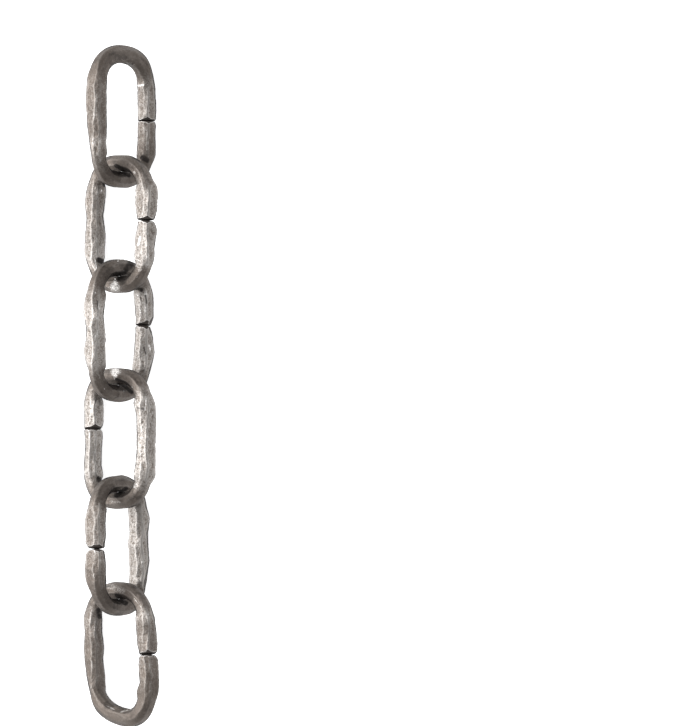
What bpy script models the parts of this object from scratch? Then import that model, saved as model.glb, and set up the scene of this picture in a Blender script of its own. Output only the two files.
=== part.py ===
"""Six open links of hammered iron chain, lying straight on a level floor.

Each link is one square iron bar with hammered corners, bent to a long ring whose ends nearly
meet in a butt gap. The links lean about 45 degrees to either side in turn, as chain does when
it lies on a floor, so each one rests on the hammered corner of its low strand.

Metres, +Z up. The chain runs along Y with link_1 at the +Y end, and the origin is on the floor
under its middle.
"""

import math
import random
from typing import NamedTuple

import bmesh
import bpy
from mathutils import Euler, Vector

MM = 0.001

# The bar
CROWN_RADIUS = 3.5 * MM  # round section of the bends
FACE = 3.75 * MM  # centre of the bar to its wide faces, along the strands
CORNER = 4.15 * MM  # centre of the bar to its hammered corners
EDGE_CUT = 0.08 * MM  # how far the small edges between faces and corners are worn down
BLOW_DEPTH = 0.25 * MM  # how far hammer blows move a face in or out
BLOW_PITCH = 8.0 * MM  # from one blow to the next along a face
SIDES = 16

# Play between the bends of two hooked links
HOOK_GAP = 0.8 * MM

# Power of the bends' curve, which is 2 for a half circle and more for squarer shoulders
SQUARENESS = 2.35

# How finely the bar is divided
BEND_STEPS = 18
STRAND_STEP = 3.0 * MM
LIP_LENGTH = 0.9 * MM  # worn lip at each end of the bar
LIP_SHARE = 0.76  # size of the end face against the bar's full section

# Angle from the strand over which a bend's section turns from hammered to round
ROUND_FROM = math.radians(8)
ROUND_FULL = math.radians(50)

# The link that the others are joined to, counted from 0
ROOT = 2


class Link(NamedTuple):
    """One link. Lengths are in millimetres and the lean is in degrees."""

    length: float  # over its outer ends
    width: float  # between the centres of its two strands
    lean: float  # of its plane, up from the floor
    high_side: int  # +1 where the right strand is the high one, -1 where the left is
    gap_strand: int  # +1 where the butt gap is in the high strand, -1 for the low one
    gap_shift: float  # of the gap from the link's middle, along Y
    gap_width: float


LINKS = (
    Link(63.4, 31.8, 45.5, -1, -1, -1.7, 0.6),
    Link(62.0, 32.4, 44.9, +1, +1, 1.6, 1.0),
    Link(63.8, 31.6, 45.7, -1, -1, 2.3, 0.8),
    Link(63.0, 32.4, 44.6, +1, -1, 4.2, 0.5),
    Link(62.9, 30.0, 49.8, -1, +1, -1.5, 1.4),
    Link(63.7, 33.0, 43.5, +1, +1, -1.1, 0.9),
)

# How far two hooked links overlap along the chain
OVERLAP = 4 * CROWN_RADIUS + HOOK_GAP

# Sideways place of the chain's +Y end, its five crossings and its -Y end
CROSSING_X = [x * MM for x in (0.9, 0.5, -0.3, -0.8, -1.0, -0.6, 0.9)]

IRON_COLOUR = (0.13, 0.115, 0.105, 1.0)
IRON_ROUGHNESS = 0.5
IRON_METALLIC = 0.85


def clear_scene():
    """Removes every object that the scene starts with."""
    for thing in list(bpy.data.objects):
        bpy.data.objects.remove(thing, do_unlink=True)


def smooth_step(value):
    """Rises smoothly from 0 to 1 as the value does, and is level outside."""
    value = min(max(value, 0.0), 1.0)
    return value * value * (3.0 - 2.0 * value)


def iron_material(name):
    """Dark hammered iron."""
    material = bpy.data.materials.new(name)
    material.use_nodes = True
    shader = material.node_tree.nodes["Principled BSDF"]
    shader.inputs["Base Color"].default_value = IRON_COLOUR
    shader.inputs["Roughness"].default_value = IRON_ROUGHNESS
    shader.inputs["Metallic"].default_value = IRON_METALLIC
    return material


def chain_ends():
    """The y of each link's upper and lower outer end, with the chain's middle at 0."""
    whole = sum(link.length for link in LINKS) * MM - (len(LINKS) - 1) * OVERLAP
    ends = []
    top = whole / 2
    for link in LINKS:
        bottom = top - link.length * MM
        ends.append((top, bottom))
        top = bottom + OVERLAP
    return ends


def evenly(start, end):
    """Places along a strand, about STRAND_STEP apart."""
    count = max(2, round(abs(end - start) / STRAND_STEP))
    return [start + (end - start) * i / count for i in range(count + 1)]


def link_stations(link):
    """The bar's stations (u, v, outward u, outward v, roundness, scale), from end to end.

    u runs across the link, towards its high strand, and v runs along the chain. Roundness is
    0 in the strands and 1 in the middle of a bend, and scale shrinks the section at the ends.
    """
    radius = link.width * MM / 2
    bend_v = link.length * MM / 2 - CROWN_RADIUS - radius
    side = link.gap_strand
    gap = link.gap_shift * MM
    lip = link.gap_width * MM / 2

    def strand(where, v, scale=1.0):
        return (where * radius, v, where, 0.0, 0.0, scale)

    def bend(where, end):
        for i in range(1, BEND_STEPS):
            angle = math.pi * i / BEND_STEPS
            across, along = abs(math.cos(angle)), math.sin(angle)
            reach = radius * (across**SQUARENESS + along**SQUARENESS) ** (-1 / SQUARENESS)
            slope_u, slope_v = across ** (SQUARENESS - 1), along ** (SQUARENESS - 1)
            steep = math.hypot(slope_u, slope_v)
            sign = where if angle < math.pi / 2 else -where
            from_strand = min(angle, math.pi - angle)
            roundness = smooth_step((from_strand - ROUND_FROM) / (ROUND_FULL - ROUND_FROM))
            yield (
                sign * across * reach,
                end * (bend_v + along * reach),
                sign * slope_u / steep,
                end * slope_v / steep,
                roundness,
                1.0,
            )

    stations = [strand(side, gap + lip, LIP_SHARE)]
    stations += [strand(side, v) for v in evenly(gap + lip + LIP_LENGTH, bend_v)]
    stations += bend(side, +1)
    stations += [strand(-side, v) for v in evenly(bend_v, -bend_v)]
    stations += bend(-side, -1)
    stations += [strand(side, v) for v in evenly(-bend_v, gap - lip - LIP_LENGTH)]
    stations.append(strand(side, gap - lip, LIP_SHARE))
    return stations


def hammered_faces(draw, along):
    """How far each of the 8 hammered faces stands out from its plain place, at one station.

    The blows of a face are evenly spaced knots with random depths, joined by straight runs.
    """
    place = along / BLOW_PITCH
    knot = int(place)
    share = place - knot
    return [face[knot] * (1 - share) + face[knot + 1] * share for face in draw]


def section_planes(blows, roundness):
    """Distances of the section's 16 side planes from the bar's centre, 22.5 degrees apart.

    Planes 0, 4, 8 and 12 are the wide faces, 2, 6, 10 and 14 the hammered corners, and the odd
    ones the small worn edges between them. Plane 14 meets the floor on a low strand.
    """
    planes = [0.0] * SIDES
    for i in range(0, SIDES, 2):
        plain = CORNER if i % 4 else FACE
        planes[i] = plain + (0.0 if i == 14 else blows[i // 2])
        planes[i] += (CROWN_RADIUS - planes[i]) * roundness
    for i in range(1, SIDES, 2):
        meet = (planes[i - 1] + planes[(i + 1) % SIDES]) / (2 * math.cos(math.pi / 8))
        planes[i] = meet - EDGE_CUT + (CROWN_RADIUS - meet + EDGE_CUT) * roundness
    return planes


def section_points(planes, turn):
    """Corners of the section (outward, sideways) where each side plane meets the next."""
    half_turn = math.pi / SIDES
    for i in range(SIDES):
        here, after = planes[i], planes[(i + 1) % SIDES]
        angle = (2 * i + 1) * half_turn + turn
        out = (here + after) / (2 * math.cos(half_turn))
        across = (after - here) / (2 * math.sin(half_turn))
        yield (
            out * math.cos(angle) - across * math.sin(angle),
            out * math.sin(angle) + across * math.cos(angle),
        )


def bar_mesh(name, link, seed, pivot):
    """The link's bar: a loft through unlike sections, round in the bends, with its two caps.

    The mesh is in the link's own frame (across, along, up from its plane), around the pivot.
    """
    chance = random.Random(seed)
    stations = link_stations(link)
    knots = int(math.pi * link.length * MM / BLOW_PITCH) + 2
    draw = [[chance.uniform(-BLOW_DEPTH, BLOW_DEPTH) for _ in range(knots)] for _ in range(8)]
    # Turns the section so that one hammered corner of the low strand faces straight down
    level = math.radians(link.lean - 45)
    radius = link.width * MM / 2

    shape = bmesh.new()
    rings = []
    along = 0.0
    last = Vector((stations[0][0], stations[0][1]))
    for u, v, out_u, out_v, roundness, scale in stations:
        along += (Vector((u, v)) - last).length
        last = Vector((u, v))
        planes = section_planes(hammered_faces(draw, along), roundness)
        ring = []
        for out, sideways in section_points(planes, -level * u / radius):
            across = link.high_side * (u + out * scale * out_u)
            place = Vector((across, v + out * scale * out_v, sideways * scale))
            ring.append(shape.verts.new(place - pivot))
        rings.append(ring)
    for before, after in zip(rings, rings[1:]):
        for i in range(SIDES):
            j = (i + 1) % SIDES
            shape.faces.new((before[i], before[j], after[j], after[i]))
    shape.faces.new(rings[0])
    shape.faces.new(rings[-1])
    bmesh.ops.recalc_face_normals(shape, faces=shape.faces)

    mesh = bpy.data.meshes.new(name)
    shape.to_mesh(mesh)
    shape.free()
    mesh.shade_smooth()
    mesh.set_sharp_from_angle(angle=math.radians(30))
    return mesh


def link_place(index, ends):
    """Centre and rotation of a link that rests on the floor between its two crossings."""
    link = LINKS[index]
    lean = math.radians(link.lean)
    x_top, x_bottom = CROSSING_X[index], CROSSING_X[index + 1]
    top, bottom = ends[index]
    height = link.width * MM / 2 * math.sin(lean) + CORNER
    centre = Vector(((x_top + x_bottom) / 2, (top + bottom) / 2, height))
    yaw = math.atan2(x_bottom - x_top, top - bottom - OVERLAP)
    return centre, Euler((0.0, -link.high_side * lean, yaw))


def crossing(upper, ends):
    """Middle of the play where link number upper is hooked to the one below it."""
    height = (link_place(upper, ends)[0].z + link_place(upper + 1, ends)[0].z) / 2
    return Vector((CROSSING_X[upper + 1], ends[upper][1] + OVERLAP / 2, height))


def add_link(index, ends, parts):
    """Adds one link, with its origin on the upright axis that it swings about."""
    name = f"link_{index + 1}"
    link = LINKS[index]
    centre, turn = link_place(index, ends)
    if index == ROOT:
        origin = centre
    else:
        origin = crossing(min(index, index + (1 if index < ROOT else -1)), ends)
    pivot = turn.to_matrix().inverted() @ (origin - centre)
    mesh = bar_mesh(name, link, index + 1, pivot)
    mesh.materials.append(iron_material(f"hammered_iron_{index + 1}"))
    thing = bpy.data.objects.new(name, mesh)
    thing.location = origin
    thing.rotation_euler = turn
    parts.objects.link(thing)
    return thing


def main():
    """Builds the six links and hangs them on one another, outwards from the root link."""
    clear_scene()
    parts = bpy.data.collections.new("hammered_chain")
    bpy.context.scene.collection.children.link(parts)
    whole = bpy.data.objects.new("hammered_chain", None)
    parts.objects.link(whole)
    ends = chain_ends()
    links = [add_link(index, ends, parts) for index in range(len(LINKS))]
    bpy.context.view_layer.update()
    for index, thing in enumerate(links):
        if index == ROOT:
            parent = whole
        else:
            parent = links[index + 1] if index < ROOT else links[index - 1]
        thing.parent = parent
        thing.matrix_parent_inverse = parent.matrix_world.inverted()


main()
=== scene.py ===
"""Looks of a straight length of hammered iron chain: six open links lying on a pale floor.

Each link is one surface on a grid of rows along the bar and columns round its section. The rows
start at the upper face of the butt gap, go round the whole link and end at the gap's lower face.
Sizes that a smith would measure are in millimetres, and the finished meshes are in metres.
"""

import logging
import math
from dataclasses import dataclass, field
from enum import Enum

import bpy
import numpy as np
from mathutils import Euler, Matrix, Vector


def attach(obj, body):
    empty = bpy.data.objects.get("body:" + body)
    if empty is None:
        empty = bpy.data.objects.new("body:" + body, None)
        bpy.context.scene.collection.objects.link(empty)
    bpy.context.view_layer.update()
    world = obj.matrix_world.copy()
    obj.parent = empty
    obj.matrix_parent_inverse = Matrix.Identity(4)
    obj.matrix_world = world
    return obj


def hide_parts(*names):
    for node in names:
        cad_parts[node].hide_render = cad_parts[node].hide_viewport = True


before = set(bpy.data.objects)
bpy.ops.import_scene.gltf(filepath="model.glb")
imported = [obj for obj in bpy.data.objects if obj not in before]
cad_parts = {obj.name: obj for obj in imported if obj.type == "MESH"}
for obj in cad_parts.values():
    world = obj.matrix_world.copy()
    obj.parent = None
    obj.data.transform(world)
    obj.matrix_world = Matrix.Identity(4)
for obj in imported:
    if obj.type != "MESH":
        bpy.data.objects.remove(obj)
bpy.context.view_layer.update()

Array = np.ndarray
Colour = tuple[float, float, float, float]
Knots = tuple[tuple[float, float], ...]

LOG = logging.getLogger("chain")
MM = 0.001
FACES = 8
WHOLE_BAR = 100.0  # grain size, in mm, of relief that is the same all round the bar
LEAST_COSINE = 0.2  # keeps a face's plane within reach on the far side of the bar
SHORTEST = 0.001  # length of a stroke that is only a spot, in mm
WHITE: Colour = (1.0, 1.0, 1.0, 1.0)


class Side(Enum):
    """Left or right in the photograph, as a sign along X."""

    LEFT = -1
    RIGHT = 1


class Strand(Enum):
    """The high or the low strand of a leaning link, as a sign across the link."""

    HIGH = 1
    LOW = -1


class Flat(Enum):
    """The bar's eight faces, counted from a strand's outer side over its top."""

    OUTER = 0
    OUT_UP = 1
    TOP = 2
    IN_UP = 3
    INNER = 4
    IN_DOWN = 5
    UNDER = 6
    OUT_DOWN = 7


class Attribute(Enum):
    """Names of the mesh attributes that the finish reads."""

    BEND = "bend"
    PROUD = "proud"
    EDGE = "edge"
    STREAK = "streak"
    WORN = "worn"
    LIP = "lip"
    SHELTER = "shelter"
    GLINT = "glint"
    SOOT = "soot"


class Relief(Enum):
    """Kinds of small relief: size of the grains along and round the bar, and height, in mm."""

    LUMPS = (2.0, 1.1, 0.035)
    SCALE = (0.5, 0.42, 0.03)
    FINE = (0.28, 0.26, 0.022)
    PITS = (0.34, 0.32, -0.06)
    DRAWN = (5.0, 0.4, 0.03)


# Numbers on a grid


def smooth_step(value: Array) -> Array:
    """Rises smoothly from 0 to 1 as the value does.

    Args:
        value: Numbers of any size.

    Returns:
        The value kept between 0 and 1, then 3 v squared less 2 v cubed.
    """
    kept = np.clip(value, 0.0, 1.0)
    return kept * kept * (3.0 - 2.0 * kept)


def soft_minimum(layers: Array, blend: float) -> Array:
    """The least of several surfaces, with the ridges where they meet rounded off.

    Args:
        layers: The surfaces, one behind the other along the first axis.
        blend: About how far the ridges are rounded, in the unit of the surfaces.

    Returns:
        Minus the blend times the log of the sum of exp(-layer / blend).
    """
    least = layers.min(axis=0)
    return least - blend * np.log(np.exp((least - layers) / blend).sum(axis=0))


@dataclass(frozen=True)
class Grain:
    """Smooth random relief on a link's grid, from white noise with its fine waves damped.

    Attributes:
        rows: Rows of the grid.
        columns: Columns of the grid.
        row_step: Length between two rows, in mm.
        column_step: Length between two columns, in mm.
    """

    rows: int
    columns: int
    row_step: float
    column_step: float

    def filtered(self, values: Array, along: float, around: float) -> Array:
        """Blurs values on the grid, as a Gaussian does.

        Args:
            values: One number for each point of the grid.
            along: Spread along the bar, in mm.
            around: Spread round the bar, in mm.

        Returns:
            The values with each wave damped by exp(-(wave number times spread) squared / 2).
        """
        wave_along = np.fft.fftfreq(self.rows, self.row_step)[:, None] * math.tau
        wave_around = np.fft.fftfreq(self.columns, self.column_step)[None, :] * math.tau
        damping = np.exp(-((wave_along * along) ** 2 + (wave_around * around) ** 2) / 2)
        return np.fft.ifft2(np.fft.fft2(values) * damping).real

    def noise(self, chance: np.random.Generator, along: float, around: float) -> Array:
        """Random relief with a mean of 0 and a spread of 1.

        Args:
            chance: The source of its white noise.
            along: Size of its grains along the bar, in mm.
            around: Size of its grains round the bar, in mm.

        Returns:
            One number for each point of the grid.
        """
        made = self.filtered(chance.standard_normal((self.rows, self.columns)), along, around)
        return (made - made.mean()) / made.std()


# Sizes of the chain


@dataclass(frozen=True)
class Stroke:
    """A bright or dark stroke on a link's upper side, as seen from above, in mm.

    Attributes:
        x: Where it starts, across the chain.
        y: Where it starts, along the chain.
        end_x: Where it ends.
        end_y: Where it ends.
        half_width: Half its width, where it starts.
        strength: How clear it is, from 0 to 1.
        end_half_width: Half its width where it ends, or None where that is the same.
    """

    x: float
    y: float
    end_x: float
    end_y: float
    half_width: float
    strength: float = 1.0
    end_half_width: float | None = None

    def cover(self, x: Array, y: Array) -> Array:
        """How far the stroke covers each place.

        Args:
            x: Places across the chain, in mm.
            y: Places along the chain.

        Returns:
            The strength on the stroke, falling smoothly to 0 from half to one and a half times
            the half width away from the line between its ends.
        """
        run_x, run_y = self.end_x - self.x, self.end_y - self.y
        length = max(math.hypot(run_x, run_y), SHORTEST)
        share = np.clip(((x - self.x) * run_x + (y - self.y) * run_y) / length**2, 0.0, 1.0)
        away = np.hypot(x - self.x - share * run_x, y - self.y - share * run_y)
        end_half_width = self.half_width if self.end_half_width is None else self.end_half_width
        half_width = self.half_width + (end_half_width - self.half_width) * share
        return self.strength * smooth_step(1.5 - away / half_width)


def strokes(*rows: tuple[float, ...]) -> tuple[Stroke, ...]:
    """Makes a stroke of each row of numbers, which are in the order of Stroke's fields."""
    return tuple(Stroke(*row) for row in rows)


@dataclass(frozen=True)
class StrandShape:
    """The faces and the wear of one strand, at places along the chain in mm.

    Attributes:
        left: How far the left side stands out from the centreline, in mm.
        right: The same for the right side.
        worn: How far the strand is rubbed bright, from 0 to 1.
        lean: How far the top face leans to the left, in degrees.
        left_up: Centre of the bar to the face between its top and its left side.
        right_up: The same for the face between its top and its right side.
    """

    left: Knots
    right: Knots
    worn: Knots
    lean: Knots = ((0, 5),)
    left_up: float = 3.75
    right_up: float = 3.9


@dataclass(frozen=True)
class LinkPlan:
    """Sizes of one link, in mm and degrees. Those up to the gap's width are the CAD model's.

    Attributes:
        length: Over its outer ends.
        width: Between the centres of its two strands.
        lean: Angle of its plane to the floor.
        high_side: The side its high strand is on.
        gap_strand: The strand that has the butt gap.
        gap_shift: From the link's middle to the gap.
        gap_width: Between the two faces of the gap.
        high: Outline of the high strand.
        low: Outline of the low strand.
        squareness: Power of the bends' curve, which is 2 for a half circle.
        top_skew: How much further its right strand runs before the upper bend.
        bottom_skew: The same at the lower bend.
        top_free: Whether nothing is hooked through its upper end.
        bottom_free: Whether nothing is hooked through its lower end.
        face_slant: How far the end faces lean along the chain, for each mm of height.
        rubs_and_highlights: Places that are rubbed bright, and painted highlights.
        soot: Painted shadows and shade, mostly where another link's bar lies over this one.
    """

    length: float
    width: float
    lean: float
    high_side: Side
    gap_strand: Strand
    gap_shift: float
    gap_width: float
    high: StrandShape
    low: StrandShape
    squareness: float = 2.35
    top_skew: float = 0.0
    bottom_skew: float = 0.0
    top_free: bool = False
    bottom_free: bool = False
    face_slant: float = 0.13
    # rubbed patches with painted highlights, and painted shadows
    rubs_and_highlights: tuple[Stroke, ...] = ()
    soot: tuple[Stroke, ...] = ()

    def on_right(self, strand: Strand) -> bool:
        """Whether a strand is the link's right one."""
        return (strand is Strand.HIGH) == (self.high_side is Side.RIGHT)


@dataclass(frozen=True)
class BarSize:
    """Section of the bar and the marks that the hammer left on it, in mm and degrees.

    Attributes:
        crown_radius: The most that a hooked bend's section reaches.
        bend_flat: Centre of the bar to the faint flats of a hooked bend.
        bend_swell: How much further a bend stands out on its outer side.
        free_flat: Centre of the bar to the flats of a bend that nothing is hooked to.
        free_spare: How far that bend's corners may stand out past its flats.
        face: Centre of the bar to its lower slanting faces.
        corner: Centre of the bar to its top and to the face under it.
        left_turn: How far the side faces at the left are turned upwards.
        right_turn: How far those at the right are.
        top_play: How much the height of the top face varies.
        top_turn: How much its lean varies.
        top_grain: Along the bar, over what length both do.
        blow_pitch: Along a face, from one blow to the next.
        blow_stray: How far a blow may be from its even place, as a part of the pitch.
        blow_depth: How much blows differ in depth.
        blow_radius: Along the bar, how hollow a blow is.
        blow_turn: How far a blow's face is turned round the bar.
        blow_tilt: How steeply a blow's face slopes along it.
        ridge: How far the ridges between blows are rounded.
        crest: How far a hooked bend is upset on its inner side, where it bears.
        crest_from: Angle round a bend where that swelling starts. It is full at twice that.
        crest_spread: Half the width of the swelling, round the bar.
        crest_growth: How much further it stands out on either side of the bearing place.
        crest_reach: Along the bar, how far from that place the growth starts and how long it is.
        lip: Size of the end faces, as a radius inside the worn lip.
        lip_slope: How fast the worn lip widens along the bar.
        lip_blend: How far the lip's edges are rounded.
        lip_shade: Width of the worn edge round each end face.
        face_play: Between the two end faces, at their middles.
        slant_reach: Length of bar over which the slant of the end faces dies away.
        round_from: Angle round a bend where its section starts to turn round.
        round_full: Angle where it is fully so.
        bend_calm: How much of the small relief is lost there, from 0 to 1.
        pit_start: How many spreads of the noise deep a pit starts.
        pit_depth: How many more there are to the bottom of the deepest pits.
    """

    crown_radius: float = 3.5
    bend_flat: float = 3.2
    bend_swell: float = 0.35
    free_flat: float = 3.85
    free_spare: float = 0.2
    face: float = 3.75
    corner: float = 4.15
    left_turn: float = 5.0
    right_turn: float = 11.0
    top_play: float = 0.08
    top_turn: float = 6.0
    top_grain: float = 2.5
    blow_pitch: float = 8.0
    blow_stray: float = 0.28
    blow_depth: float = 0.2
    blow_radius: float = 38.0
    blow_turn: float = 5.0
    blow_tilt: float = 0.02
    ridge: float = 0.05
    crest: float = 0.37
    crest_from: float = 45.0
    crest_spread: float = 0.4
    crest_growth: float = 0.05
    crest_reach: tuple[float, float] = (0.15, 0.7)
    lip: float = 3.85
    lip_slope: float = 0.8
    lip_blend: float = 0.12
    lip_shade: float = 0.4
    face_play: float = 0.1
    slant_reach: float = 6.0
    round_from: float = 8.0
    round_full: float = 55.0
    bend_calm: float = 0.55
    pit_start: float = 1.4
    pit_depth: float = 1.3


@dataclass(frozen=True)
class WearSize:
    """How the finish is told which places are proud, sharp, open to the strokes, or turned down or
    sideways, where shade is painted.

    The first four pairs are in mm. The last two are about the upward part of a unit normal.

    Attributes:
        proud_blur: Spread, along and round the bar, of the blur that proud places stand out of.
        edge_blur: The same for ridges.
        edge_height: How far out a ridge starts to be worn, and how much further it is fully so.
        streak: Size of the streaks, along and round the bar.
        open_rise: Where the rubbed patches, painted highlights and painted shadows start to show,
            and how much further they are whole.
        clear_rise: Where the painted shade on faces turned down or sideways starts to end, and how
            much further it has ended.
    """

    proud_blur: tuple[float, float] = (0.8, 0.7)
    edge_blur: tuple[float, float] = (0.6, 0.5)
    edge_height: tuple[float, float] = (0.012, 0.035)
    streak: tuple[float, float] = (3.5, 0.32)
    open_rise: tuple[float, float] = (-0.1, 0.3)
    clear_rise: tuple[float, float] = (0.12, 0.45)


@dataclass(frozen=True)
class GridSize:
    """How finely a link is divided.

    Attributes:
        rows: Rows between the two end faces.
        end_rows: How many of them are close together at each end.
        end_length: Length of bar that those take up, in mm.
        cap_rows: Rows of each end face.
        columns: Columns round the section.
    """

    rows: int = 580
    end_rows: int = 16
    end_length: float = 1.5
    cap_rows: int = 12
    columns: int = 96


# The bar's path


@dataclass(frozen=True)
class BarPath:
    """The centreline of a link's bar, one entry for each row, in mm.

    Attributes:
        along: Length from the upper face of the gap.
        across: Place across the link, towards its high strand.
        forward: Place along the chain from the link's middle.
        out_across: Across part of the unit vector out of the link, in its plane.
        out_forward: Forward part of it.
        turned: Angle from the nearer strand round the bend, in radians.
        end: +1 towards the upper bend and -1 towards the lower one.
    """

    along: Array
    across: Array
    forward: Array
    out_across: Array
    out_forward: Array
    turned: Array
    end: Array


def bar_path(plan: LinkPlan, bar: BarSize, grid: GridSize) -> BarPath:
    """Works out the centreline of a link.

    Two straight strands are joined by bends. A bend runs round a half circle whose distance
    from its middle is divided by the n-th root of |cos|^n + |sin|^n, where n is the squareness.
    It may be skewed: its forward place gains the skew times the sine of twice the angle from
    the right strand.

    Args:
        plan: The link.
        bar: The bar.
        grid: How finely it is divided.

    Returns:
        The path from the gap's upper face round to its lower face.
    """
    radius = plan.width / 2
    straight = plan.length / 2 - bar.crown_radius - radius
    start = plan.gap_strand.value
    upper_lip = plan.gap_shift + plan.gap_width / 2
    lower_lip = plan.gap_shift - plan.gap_width / 2

    bend_1 = straight - upper_lip
    strand_2 = bend_1 + math.pi * radius
    bend_2 = strand_2 + 2 * straight
    strand_3 = bend_2 + math.pi * radius
    whole = strand_3 + straight + lower_lip
    first = np.linspace(0.0, grid.end_length, grid.end_rows, endpoint=False)
    between = grid.rows - 2 * grid.end_rows
    main = np.linspace(grid.end_length, whole - grid.end_length, between)
    along = np.concatenate([first, main, whole - first[::-1]])

    turn_1 = np.clip((along - bend_1) / radius, 0.0, math.pi)
    turn_2 = np.clip((along - bend_2) / radius, 0.0, math.pi)
    upper = along < (strand_2 + bend_2) / 2
    end = np.where(upper, 1.0, -1.0)
    angle = np.where(upper, turn_1, turn_2)
    where = np.where(upper, start, -start)
    power = plan.squareness
    reach = (np.abs(np.cos(angle)) ** power + np.abs(np.sin(angle)) ** power) ** (-1 / power)
    across = where * radius * reach * np.cos(angle)
    run = np.select(
        [along < bend_1, along < strand_2, along < bend_2, along < strand_3],
        [upper_lip + along, straight, straight - (along - strand_2), -straight],
        -straight + (along - strand_3),
    )
    skew = np.where(upper, plan.top_skew, plan.bottom_skew)
    from_right = np.cos(angle) * where * plan.high_side.value
    forward = run + end * np.sin(angle) * (radius * reach + 2 * skew * from_right)

    step_across = np.gradient(across)
    step_forward = np.gradient(forward)
    step = np.hypot(step_across, step_forward)
    return BarPath(
        along=along,
        across=across,
        forward=forward,
        out_across=start * step_forward / step,
        out_forward=-start * step_across / step,
        turned=np.minimum(angle, math.pi - angle),
        end=end,
    )


# One link


def new_object(name: str, data: bpy.types.ID) -> bpy.types.Object:
    """Puts a new object with the given data into the scene, at the origin."""
    thing = bpy.data.objects.new(name, data)
    bpy.context.scene.collection.objects.link(thing)
    return thing


def store(mesh: bpy.types.Mesh, which: Attribute, values: Array) -> None:
    """Stores one number for each vertex of a mesh."""
    layer = mesh.attributes.new(which.value, "FLOAT", "POINT")
    layer.data.foreach_set("value", values.astype(np.float32))


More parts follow.
